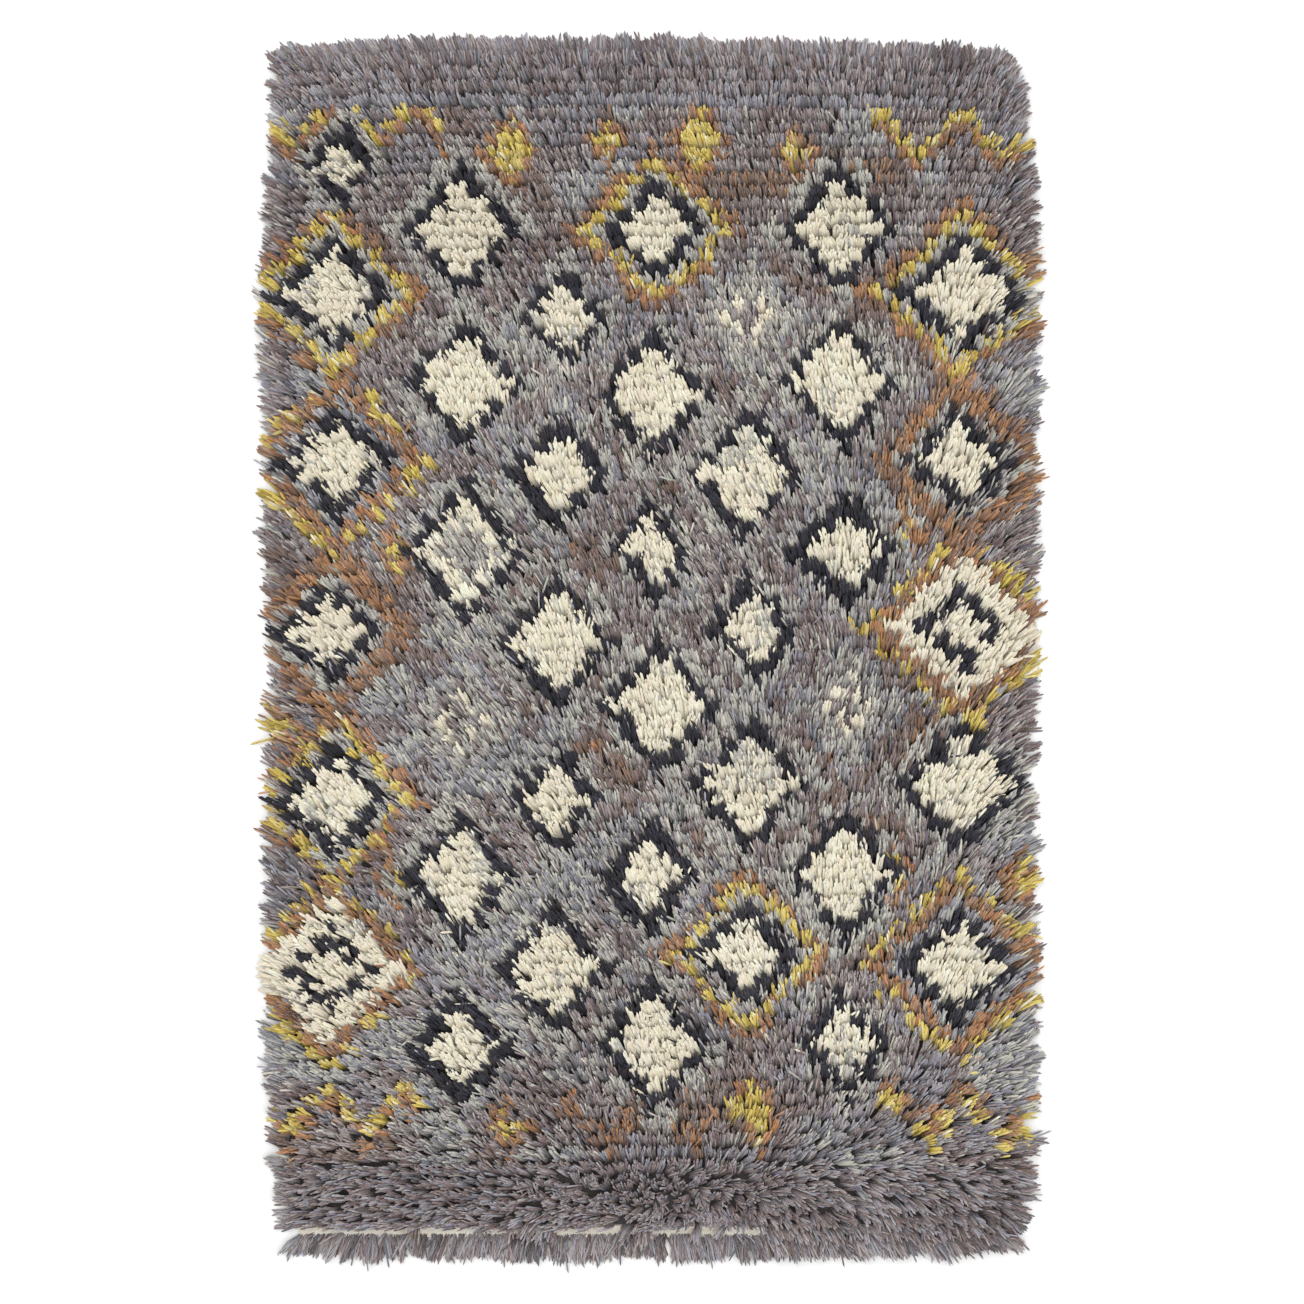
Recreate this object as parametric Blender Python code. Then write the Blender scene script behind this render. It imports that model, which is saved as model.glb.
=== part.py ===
"""Rya rug lying flat on a floor: one woven cloth whose long wool pile is knotted
into the ground weave row by row.

The solid is the space that cloth and pile fill together: a flat underside, a
gently uneven pile surface, soft shoulders that fall to the outermost tuft tips,
a shallow groove near the foot end where a strip of bare ground weave shows, and
a low last row of pile that hangs out over the foot.

Metres, +Z up. X runs across the rug, +Y towards its head end. The origin is the
centre of the underside.
"""

import math

import bmesh
import bpy

# ---------------------------------------------------------------- dimensions

MM = 0.001

RUG_WIDTH = 1.200  # nominal, over the tuft tips of both sides
RUG_LENGTH = 1.882  # nominal, over the tuft tips of both ends

LIP_HEIGHT = 0.0038  # tuft tips that lie on the floor along the outline
SHOULDER = 0.046  # how far in the pile takes to reach its full height
CORNER_RADIUS = 0.040  # loose pile rounds the corners off

CELL = 0.034  # spacing of the interior stations
EDGE_STATIONS = (0.0, 0.005, 0.013, 0.025, 0.042)  # insets, closer at the rim

# Bare strip of ground weave between the last two rows of pile at the foot.
GROOVE_Y = -0.8965
GROOVE_FROM_X = -0.556
GROOVE_TO_X = 0.176
GROOVE_FLOOR = 0.0062  # height of the bare weave and the knots beside it
GROOVE_HALF_WIDTH = 0.0040
GROOVE_BANK = 0.0085  # width of each sloping bank
GROOVE_FADE = 0.034  # the pile closes over both ends of the strip

# Outermost tuft tips of the two long sides: height up the rug, left, right.
SIDES = (
    # y_mm, left_mm, right_mm
    (-930, -562, 566),
    (-907, -571, 576),
    (-846, -583, 592),
    (-769, -588, 591),
    (-661, -594, 595),
    (-538, -596, 600),
    (-415, -595, 595),
    (-292, -596, 594),
    (-215, -592, 585),
    (-138, -595, 593),
    (-46, -588, 598),
    (46, -593, 597),
    (169, -601, 598),
    (292, -599, 594),
    (415, -603, 598),
    (538, -608, 599),
    (600, -602, 599),
    (723, -594, 598),
    (846, -590, 587),
    (907, -596, 574),
    (935, -592, 566),
)

# Outermost tuft tips of the two ends: place across, foot end, head end.
ENDS = (
    # x_mm, foot_mm, head_mm
    (-588, -926, 927),
    (-541, -935, 933),
    (-465, -939, 938),
    (-357, -944, 939),
    (-265, -941, 943),
    (-142, -945, 940),
    (-72, -941, 944),
    (43, -943, 939),
    (135, -936, 932),
    (228, -937, 933),
    (305, -938, 940),
    (412, -941, 929),
    (489, -941, 928),
    (551, -933, 921),
    (590, -924, 912),
)

# How high the pile stands above the floor along the rug: it lies down towards
# the foot, and stands more upright near the head.
PILE = (
    # y_mm, height_mm
    (-941, 13.0),
    (-905, 15.0),
    (-880, 19.5),
    (-800, 22.5),
    (-600, 23.5),
    (-200, 23.0),
    (200, 23.5),
    (500, 24.5),
    (750, 26.0),
    (880, 25.0),
    (941, 22.0),
)

# Slow unevenness of the pile surface: waves along X and Y with a phase.
SURFACE_WAVES = (
    # height_mm, length_x_m, length_y_m, phase
    (0.55, 0.61, 0.83, 0.4),
    (0.45, 0.27, -0.52, 1.9),
    (0.35, -0.38, 0.21, 4.1),
    (0.30, 0.13, 0.17, 2.7),
)

# Small wobble of the outline where tufts stick out: size, length, phase.
OUTLINE_WAVES = (
    # size_mm, length_m, phase
    (1.6, 0.149, 0.7),
    (1.1, 0.083, 2.2),
    (0.8, 0.061, 5.0),
)


# ------------------------------------------------------------------ functions


def column(table, name):
    """One named column of SIDES, ENDS or PILE, in metres."""
    names = {
        id(SIDES): ("at", "left", "right"),
        id(ENDS): ("at", "foot", "head"),
        id(PILE): ("at", "height"),
    }[id(table)]
    index = names.index(name)
    return [row[index] * MM for row in table]


def smooth_between(table, name, at):
    """The column's value at a place between the rows, on a smooth curve through
    them (Catmull-Rom), and held at its first and last value outside them."""
    places, values = column(table, "at"), column(table, name)
    if at <= places[0]:
        return values[0]
    if at >= places[-1]:
        return values[-1]
    i = max(k for k in range(len(places) - 1) if places[k] <= at)
    x0, x1 = places[i], places[i + 1]
    span = x1 - x0
    t = (at - x0) / span

    def slope(k):
        lo, hi = max(k - 1, 0), min(k + 1, len(places) - 1)
        return (values[hi] - values[lo]) / (places[hi] - places[lo])

    h00 = 2 * t**3 - 3 * t**2 + 1
    h10 = t**3 - 2 * t**2 + t
    h01 = -2 * t**3 + 3 * t**2
    h11 = t**3 - t**2
    return (
        h00 * values[i]
        + h10 * span * slope(i)
        + h01 * values[i + 1]
        + h11 * span * slope(i + 1)
    )


def wobble(along, shift):
    """Outline wobble at a distance along an edge; shift tells the edges apart."""
    return sum(
        size * MM * math.sin(2 * math.pi * along / length + phase + shift)
        for size, length, phase in OUTLINE_WAVES
    )


def stations(length, extra=()):
    """Places along one direction: close together at both rims, even inside, and
    with any extra ones, from -length / 2 to length / 2."""
    half = length / 2
    inner = half - EDGE_STATIONS[-1]
    count = max(2, round(2 * inner / CELL))
    even = [-inner + 2 * inner * k / count for k in range(1, count)]
    even = [p for p in even if all(abs(p - e) > 0.45 * CELL for e in extra)]
    rim = [half - inset for inset in EDGE_STATIONS]
    return sorted([-p for p in rim] + even + list(extra) + rim)


def rounded_corner(x, y):
    """Moves a point of the nominal rectangle so that its corners are round."""
    cx, cy = RUG_WIDTH / 2 - CORNER_RADIUS, RUG_LENGTH / 2 - CORNER_RADIUS
    a, b = (abs(x) - cx) / CORNER_RADIUS, (abs(y) - cy) / CORNER_RADIUS
    if a <= 0 or b <= 0:
        return x, y
    across = cx + CORNER_RADIUS * a * math.sqrt(1 - b * b / 2)
    along = cy + CORNER_RADIUS * b * math.sqrt(1 - a * a / 2)
    return math.copysign(across, x), math.copysign(along, y)


def outlined(x, y):
    """Stretches a point of the nominal rectangle to the real, uneven outline."""
    s = x / (RUG_WIDTH / 2)
    t = y / (RUG_LENGTH / 2)
    if s < 0:
        side = -smooth_between(SIDES, "left", y) + wobble(y, 0.0)
    else:
        side = smooth_between(SIDES, "right", y) + wobble(y, 1.3)
    if t < 0:
        end = -smooth_between(ENDS, "foot", x) + wobble(x, 2.9)
    else:
        end = smooth_between(ENDS, "head", x) + wobble(x, 4.4)
    # The outline's unevenness dies away inwards, so interior rows stay straight.
    side_pull = (side - RUG_WIDTH / 2) * abs(s) ** 12
    end_pull = (end - RUG_LENGTH / 2) * abs(t) ** 24
    return (
        x + math.copysign(1.0, x) * side_pull,
        y + math.copysign(1.0, y) * end_pull,
    )


def rim_distance(x, y):
    """How far a point of the nominal rectangle is inside its rounded rim."""
    dx, dy = RUG_WIDTH / 2 - abs(x), RUG_LENGTH / 2 - abs(y)
    if dx < SHOULDER and dy < SHOULDER:
        away = math.hypot(SHOULDER - dx, SHOULDER - dy)
        return max(0.0, SHOULDER - away)
    return min(dx, dy)


def ease(t):
    t = min(1.0, max(0.0, t))
    return t * t * (3 - 2 * t)


def groove(x, y):
    """1 in the bare strip of ground weave, 0 away from it."""
    bank = 1 - ease((abs(y - GROOVE_Y) - GROOVE_HALF_WIDTH) / GROOVE_BANK)
    from_left = ease((x - GROOVE_FROM_X) / GROOVE_FADE)
    from_right = ease((GROOVE_TO_X - x) / GROOVE_FADE)
    return bank * from_left * from_right


def surface_height(x, y):
    """Height of the pile surface over a point of the nominal rectangle."""
    full = smooth_between(PILE, "height", y)
    full += sum(
        high * MM * math.sin(2 * math.pi * (x / lx + y / ly) + phase)
        for high, lx, ly, phase in SURFACE_WAVES
    )
    inwards = min(1.0, rim_distance(x, y) / SHOULDER)
    shoulder = math.sqrt(1 - (1 - inwards) ** 2)
    height = LIP_HEIGHT + (full - LIP_HEIGHT) * shoulder
    low = min(height, GROOVE_FLOOR)
    return height + (low - height) * groove(x, y)


def rug_mesh(name):
    """A grid on the floor, shaped to the outline and raised to the pile surface;
    the grid left behind is dissolved into the one flat underside."""
    bank = GROOVE_HALF_WIDTH + GROOVE_BANK
    across = stations(RUG_WIDTH)
    along = stations(
        RUG_LENGTH,
        extra=(
            GROOVE_Y - bank,
            GROOVE_Y - GROOVE_HALF_WIDTH,
            GROOVE_Y + GROOVE_HALF_WIDTH,
            GROOVE_Y + bank,
        ),
    )
    bm = bmesh.new()
    bmesh.ops.create_grid(
        bm, x_segments=len(across) - 1, y_segments=len(along) - 1, size=0.5
    )
    nominal = {}
    for vert in bm.verts:
        column_number = round((vert.co.x + 0.5) * (len(across) - 1))
        row_number = round((vert.co.y + 0.5) * (len(along) - 1))
        nominal[vert] = (across[column_number], along[row_number])

    under = list(bm.faces)
    raised = bmesh.ops.extrude_face_region(bm, geom=under, use_keep_orig=True)
    pairs = {}
    for item in raised["geom"]:
        if isinstance(item, bmesh.types.BMVert):
            pairs[(round(item.co.x, 6), round(item.co.y, 6))] = item
    for vert, (x, y) in nominal.items():
        top = pairs[(round(vert.co.x, 6), round(vert.co.y, 6))]
        px, py = outlined(*rounded_corner(x, y))
        top.co = (px, py, surface_height(x, y))
        vert.co = (px, py, 0.0)

    bmesh.ops.dissolve_faces(bm, faces=under, use_verts=True)
    bmesh.ops.recalc_face_normals(bm, faces=bm.faces)

    # The origin is the middle of the outline's box.
    xs = [v.co.x for v in bm.verts]
    ys = [v.co.y for v in bm.verts]
    middle = ((min(xs) + max(xs)) / 2, (min(ys) + max(ys)) / 2)
    for vert in bm.verts:
        vert.co.x -= middle[0]
        vert.co.y -= middle[1]

    mesh = bpy.data.meshes.new(name)
    bm.to_mesh(mesh)
    bm.free()
    return mesh


def wool(name, colour, roughness):
    material = bpy.data.materials.new(name)
    material.use_nodes = True
    shader = material.node_tree.nodes["Principled BSDF"]
    shader.inputs["Base Color"].default_value = (*colour, 1.0)
    shader.inputs["Roughness"].default_value = roughness
    shader.inputs["Metallic"].default_value = 0.0
    return material


# ---------------------------------------------------------------------- build


def main():
    for obj in list(bpy.data.objects):
        bpy.data.objects.remove(obj, do_unlink=True)

    parts = bpy.data.collections.new("rya_rug")
    bpy.context.scene.collection.children.link(parts)

    mesh = rug_mesh("rug")
    mesh.shade_smooth()
    mesh.set_sharp_from_angle(angle=math.radians(50))
    mesh.materials.append(wool("heather_wool", (0.20, 0.19, 0.205), 0.95))
    rug = bpy.data.objects.new("rug", mesh)
    parts.objects.link(rug)


main()
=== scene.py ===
"""The looks of the rya rug: its ribbed ground weave and every yarn end of its pile.

The pile is knotted row by row. Each knot holds a few yarn ends, and each end is an
arched strip that rises out of the ground weave and lies down with its neighbours:
towards the head in the field, outwards along both sides, and over the foot in the
last row. The design is a generic trellis of stepped lozenges, charted by rule.
"""

import math

import bpy
import numpy as np
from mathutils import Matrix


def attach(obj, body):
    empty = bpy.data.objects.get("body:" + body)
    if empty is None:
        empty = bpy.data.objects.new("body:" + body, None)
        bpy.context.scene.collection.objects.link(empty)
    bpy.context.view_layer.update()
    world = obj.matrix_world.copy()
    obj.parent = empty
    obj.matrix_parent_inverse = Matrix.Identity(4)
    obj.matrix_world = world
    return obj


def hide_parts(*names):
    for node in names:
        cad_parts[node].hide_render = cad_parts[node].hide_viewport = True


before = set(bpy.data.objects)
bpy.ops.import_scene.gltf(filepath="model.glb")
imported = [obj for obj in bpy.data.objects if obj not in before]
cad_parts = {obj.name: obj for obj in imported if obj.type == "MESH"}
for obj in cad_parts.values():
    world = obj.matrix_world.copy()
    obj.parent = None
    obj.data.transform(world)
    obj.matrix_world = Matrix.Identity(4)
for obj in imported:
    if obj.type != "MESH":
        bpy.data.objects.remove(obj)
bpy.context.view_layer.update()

MM = 0.001
rng = np.random.default_rng(20451)

# ------------------------------------------------------------------ dimensions

WEAVE_THICK = 0.0030  # ground weave
ROW_PITCH = 0.0200  # from one row of knots to the next
KNOT_PITCH = 0.0066  # from one knot to the next along a row
FIRST_ROW_Y = -0.8845  # the first row above the bare strip
LAST_ROW_Y = 0.9140
FOOT_ROW_Y = -0.8990  # the last row of all, which hangs out over the foot
SIDE_INSET = 0.0285  # from the tuft tips in to the outermost knots
LEFT_INSET = 0.0325  # the pile lies flatter along the left side
EDGE_PAST_KNOT = 0.0015  # of ground weave, past the outermost knots
STRIP_Y = -0.8930  # middle of the bare strip of ground weave
STRIP_TO_X = 0.176
FOOT_ROW_DENSER = 1.7
HEAD_ROW_DENSER = 1.35
PIECES = 5  # pile pieces: each holds about every fifth row of knots

# Outermost tuft tips of the two long sides, the same as the solid's.
SIDES = (
    # y_mm, left_mm, right_mm
    (-930, -562, 566),
    (-907, -571, 576),
    (-846, -583, 592),
    (-769, -588, 591),
    (-661, -594, 595),
    (-538, -596, 600),
    (-415, -595, 595),
    (-292, -596, 594),
    (-215, -592, 585),
    (-138, -595, 593),
    (-46, -588, 598),
    (46, -593, 597),
    (169, -601, 598),
    (292, -599, 594),
    (415, -603, 598),
    (538, -608, 599),
    (600, -602, 599),
    (723, -594, 598),
    (846, -590, 587),
    (907, -596, 574),
    (935, -592, 566),
)

# How far the last rows sink towards the head's corners.
HEAD_SINK = (
    # x_mm, sink_mm
    (-600, 22),
    (-560, 13),
    (-500, 5),
    (-420, 3),
    (-200, 2),
    (-60, 0),
    (40, 0),
    (120, 7),
    (250, 6),
    (380, 8),
    (450, 13),
    (520, 17),
    (560, 23),
    (600, 32),
)

# Which way the pile lies, in degrees to the left of the head end, by place.
LIE_ACROSS = (-0.595, -0.530, -0.420, -0.150, -0.030, 0.080, 0.150, 0.300, 0.420, 0.530, 0.595)
LIE = (
    # y_mm, and the angle at each place in LIE_ACROSS
    (930, 62, 38, 26, 12, 9, 6, 4, 2, 0, -25, -50),
    (850, 68, 46, 34, 20, 17, 14, 12, 8, 4, -32, -66),
    (700, 70, 50, 36, 22, 19, 16, 14, 10, 4, -25, -74),
    (450, 70, 48, 34, 22, 20, 17, 16, 10, 0, -32, -76),
    (150, 72, 48, 32, 24, 21, 18, 16, 6, -8, -38, -74),
    (-100, 72, 50, 36, 26, 19, 13, 10, -2, -14, -45, -76),
    (-400, 72, 52, 40, 28, 23, 19, 16, 6, -8, -42, -76),
    (-600, 74, 55, 46, 32, 26, 21, 18, 8, -4, -46, -80),
    (-720, 80, 66, 56, 36, 24, 14, 6, -14, -38, -66, -84),
    (-790, 84, 76, 70, 46, 14, -12, -28, -62, -82, -88, -92),
    (-830, 88, 84, 80, 66, 24, -60, -86, -104, -106, -100, -98),
    (-860, 94, 90, 88, 84, 94, -172, -146, -138, -130, -115, -108),
    (-885, 104, 98, 94, 92, 100, 190, 205, 208, 212, 230, 242),
    (-902, 140, 160, 182, 190, 191, 192, 194, 202, 212, 226, 240),
)

# How the pile stands along the rug: how steep each end leaves its knot, how steep
# its tip is, its length, how unruly it is and how high it may reach.
STAND = (
    # y_mm, root_deg, tip_deg, length_mm, jitter_deg, top_mm
    (-885, 54, 14, 31, 12, 20.5),
    (-830, 62, 16, 33, 14, 23.5),
    (-720, 62, 14, 36, 10, 24.0),
    (-500, 60, 10, 38, 7, 24.0),
    (0, 60, 9, 38, 6, 24.0),
    (400, 60, 11, 38, 6, 24.5),
    (540, 64, 20, 36, 7, 25.5),
    (620, 66, 27, 35, 7, 26.5),
    (790, 66, 28, 35, 7, 26.5),
    (870, 62, 18, 36, 8, 25.5),
    (930, 54, 8, 36, 9, 24.0),
)

# ---------------------------------------------------------------------- tables


def read(table, index, y):
    rows = sorted(table)
    places = np.array([row[0] for row in rows], float) * MM
    values = np.array([row[index] for row in rows], float)
    return np.interp(y, places, values)


def side(index, y):
    return read(SIDES, index, y) * MM


def lie(x, y):
    """The pile's direction in degrees, and how sure it is, from 0 to 1."""
    rows = sorted(LIE)
    turn = np.radians(np.array([row[1:] for row in rows], float))
    places = np.array([row[0] for row in rows], float) * MM
    stations = np.array(LIE_ACROSS)
    i = np.clip(np.searchsorted(places, y) - 1, 0, len(places) - 2)
    j = np.clip(np.searchsorted(stations, x) - 1, 0, len(stations) - 2)
    s = np.clip((y - places[i]) / (places[i + 1] - places[i]), 0, 1)
    t = np.clip((x - stations[j]) / (stations[j + 1] - stations[j]), 0, 1)
    across, along = 0, 0
    for di, dj, weight in (
        (0, 0, (1 - s) * (1 - t)),
        (0, 1, (1 - s) * t),
        (1, 0, s * (1 - t)),
        (1, 1, s * t),
    ):
        across = across + np.sin(turn[i + di, j + dj]) * weight
        along = along + np.cos(turn[i + di, j + dj]) * weight
    return np.degrees(np.arctan2(across, along)), np.hypot(across, along)


def head_sink(x, y):
    return read(HEAD_SINK, 1, x) * MM * np.clip((y - 0.70) / 0.20, 0, 1) ** 1.5


def value_noise(x, y, cell, seed):
    """Smooth noise from -1 to 1 whose lumps are about as wide as cell."""
    lattice = np.random.default_rng(seed).uniform(-1, 1, (256, 256))
    px, py = x / cell + 97.3, y / cell + 61.7
    ix, iy = np.floor(px).astype(int), np.floor(py).astype(int)
    fx, fy = px - ix, py - iy
    fx, fy = fx * fx * (3 - 2 * fx), fy * fy * (3 - 2 * fy)

    def at(i, j):
        return lattice[i % 256, j % 256]

    low = at(ix, iy) * (1 - fx) + at(ix + 1, iy) * fx
    high = at(ix, iy + 1) * (1 - fx) + at(ix + 1, iy + 1) * fx
    return low * (1 - fy) + high * fy


# --------------------------------------------------------------------- colours

# Shades of each yarn as they leave the dye pot. Heather yarn is plied from unlike
# strands, so its shades vary most.
YARNS = {
    "heather": (
        (0xA8A0A5, 3), (0x8A7F85, 4), (0x7C6B66, 4), (0x6B5955, 3), (0x4F4445, 1),
        (0xADA099, 1), (0xB7B0B0, 1), (0x77757E, 2),
    ),
    "brown": (
        (0x7D6A62, 4), (0x6F5D53, 3), (0x8D7B71, 3), (0x594B46, 1), (0x9A897D, 1),
        (0x877163, 2), (0x8F898E, 1),
    ),
    "blue": (
        (0x8F8E97, 4), (0x9E9DA4, 4), (0x7D7C83, 3), (0xAFADB0, 2), (0x6C6B73, 2),
        (0x615C59, 1),
    ),
    "pale": (
        (0xB7B5AC, 4), (0xC3C1B4, 3), (0xA5A49E, 3), (0x9A9A98, 2), (0x898683, 2),
        (0xCBC6B7, 1),
    ),
    "cream": (
        (0xE5DEC9, 5), (0xDDD5BC, 4), (0xE8E3D5, 4), (0xD5CBB2, 2), (0xE2D5BC, 1),
        (0xCEC8BA, 1),
    ),
    "dark": (
        (0x2F2F38, 5), (0x3A3942, 4), (0x26262D, 4), (0x45434C, 2), (0x38322F, 2),
    ),
    "mustard": (
        (0xCCB560, 4), (0xD5C47D, 3), (0xBCA553, 3), (0xC2B27A, 1), (0xA79049, 2),
    ),
    "rust": (
        (0xB2835C, 4), (0xA17351, 3), (0xC19773, 3), (0x8E6C56, 2), (0xA88971, 2),
        (0x836D5F, 1),
    ),
}
YARN_NAMES = list(YARNS)
# Yarns whose shades melt into each other: how much of their spread is kept.
EVENED = {"heather": 0.85, "brown": 0.85, "blue": 0.85, "pale": 0.80, "cream": 0.55}
SHADES_EACH = 32  # shades per yarn, 8 yarns: 256 in all


def linear(rgb):
    rgb = np.asarray(rgb, float)
    return np.where(rgb <= 0.04045, rgb / 12.92, ((rgb + 0.055) / 1.055) ** 2.4)


def unpack(code):
    return np.array([(code >> 16) & 255, (code >> 8) & 255, code & 255]) / 255.0


def shade_card():
    """Two ply colours for each of the 256 shades, as linear colours."""
    card = np.random.default_rng(77)
    first, second = [], []
    for name in YARN_NAMES:
        codes = [c for c, _ in YARNS[name]]
        weights = np.array([w for _, w in YARNS[name]], float)
        middle = np.average([unpack(c) for c in codes], axis=0, weights=weights)
        picks = []
        for code, share in zip(codes, weights / weights.sum()):
            picks += [code] * max(1, round(share * SHADES_EACH))
        while len(picks) < SHADES_EACH:
            picks.append(codes[0])
        picks = picks[:SHADES_EACH]
        for code in picks:
            base = middle + EVENED.get(name, 1) * (unpack(code) - middle)
            value = 1 + card.normal(0, 0.02 if name == "cream" else 0.05)
            tint = 1 + card.normal(0, 0.020, 3)
            a = np.clip(base * value * tint, 0, 1)
            other = unpack(codes[card.integers(len(codes))])
            other = middle + EVENED.get(name, 1) * (other - middle)
            value = 1 + card.normal(0, 0.02 if name == "cream" else 0.06)
            b = np.clip((0.62 * base + 0.38 * other) * value, 0, 1)
            first.append(linear(a))
            second.append(linear(b))
    return np.array(first), np.array(second)


SHADE_A, SHADE_B = shade_card()

# ---------------------------------------------------------------------- design

HEATHER, BROWN, BLUE, PALE, CREAM, DARK, MUSTARD, RUST = range(8)

PLAIN_FOOT_ROWS = 6
PLAIN_HEAD_ROWS = 5

# Lozenges: how many knots across match a row up, and then each ring's yarn and how
# many rows high it is, from the outermost ring inwards.
LOZENGES = {
    "frame": (2.5, (PALE, 2.0), (DARK, 1.35), (CREAM, 9)),
    "eye": (2.5, (PALE, 1.6), (DARK, 1.4), (CREAM, 1.9), (PALE, 9)),
    "bold": (2.6, (BLUE, 0.9), (PALE, 0.9), (DARK, 1.8), (CREAM, 9)),
    "ghost": (2.6, (BLUE, 1.0), (PALE, 2.4), (CREAM, 0.9), (HEATHER, 9)),
    "small": (2.4, (PALE, 1.3), (DARK, 1.4), (CREAM, 9)),
    "sunny": (2.9, (RUST, 1.3), (MUSTARD, 0.9), (PALE, 0.9), (DARK, 1.3), (CREAM, 9)),
    "sunrise": (2.9, (MUSTARD, 0.9), (RUST, 1.4), (BLUE, 1.0), (DARK, 1.2), (CREAM, 9)),
    "ember": (2.9, (BROWN, 0.9), (RUST, 1.6), (PALE, 0.9), (DARK, 1.4), (CREAM, 9)),
    "glow": (2.9, (MUSTARD, 0.9), (RUST, 1.4), (CREAM, 2.2), (DARK, 1.3), (CREAM, 9)),
    "spark": (2.2, (RUST, 1.1), (MUSTARD, 9)),
}
# Where they stand: the middle in knots across and rows up, and the ring count.
TRELLIS = (
    # kind, across, up, rings
    ("glow", -72, 20, 7.6),
    ("sunny", -71, 33, 7.4),
    ("ember", -72, 46, 7.2),
    ("sunrise", -71, 59, 7.4),
    ("sunny", -72, 72, 7.4),
    ("small", -70, 82, 4.4),
    ("bold", -42, 14, 6.2),
    ("frame", -42, 27, 7.0),
    ("ghost", -42, 39, 5.4),
    ("eye", -41, 52, 7.0),
    ("frame", -42, 65, 7.0),
    ("frame", -42, 77, 7.0),
    ("frame", -20, 20, 7.0),
    ("small", -20, 33, 5.2),
    ("frame", -20, 45, 7.0),
    ("bold", -20, 58, 6.2),
    ("small", -19, 70, 5.2),
    ("frame", 2, 14, 7.0),
    ("bold", 2, 27, 6.2),
    ("frame", 3, 40, 7.0),
    ("small", 2, 52, 5.2),
    ("frame", 2, 64, 7.0),
    ("sunny", 2, 77, 6.9),
    ("sunny", 24, 21, 6.9),
    ("frame", 24, 34, 7.0),
    ("small", 25, 46, 5.2),
    ("frame", 24, 58, 7.0),
    ("ghost", 24, 70, 5.4),
    ("small", 45, 14, 5.2),
    ("frame", 46, 27, 7.0),
    ("ghost", 46, 40, 5.4),
    ("bold", 46, 52, 6.2),
    ("frame", 45, 65, 7.0),
    ("frame", 45, 77, 7.0),
    ("sunrise", 71, 20, 7.4),
    ("frame", 71, 34, 7.0),
    ("glow", 72, 46, 7.6),
    ("ember", 71, 59, 7.2),
    ("sunny", 72, 72, 7.4),
)
# Small sparks in the gaps of the trellis.
SPARKS = (
    # across, up, rings
    (-57, 27, 2),
    (-57, 52, 2),
    (-31, 83, 3),
    (-9, 84, 2),
    (13, 84, 3),
    (35, 83, 2),
    (58, 27, 2),
    (59, 53, 2),
    (-84, 39, 2),
    (84, 27, 2),
    (-31, 8, 2),
    (24, 9, 3),
)
# Zigzag lines: from and to in knots across, the row, the yarn above and below.
ZIGZAGS = (
    (-90, -50, 7, MUSTARD, RUST),
    (-18, 12, 6, RUST, BROWN),
    (52, 90, 7, RUST, MUSTARD),
    (-90, -46, 83, MUSTARD, RUST),
    (52, 90, 82, MUSTARD, RUST),
)


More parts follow.
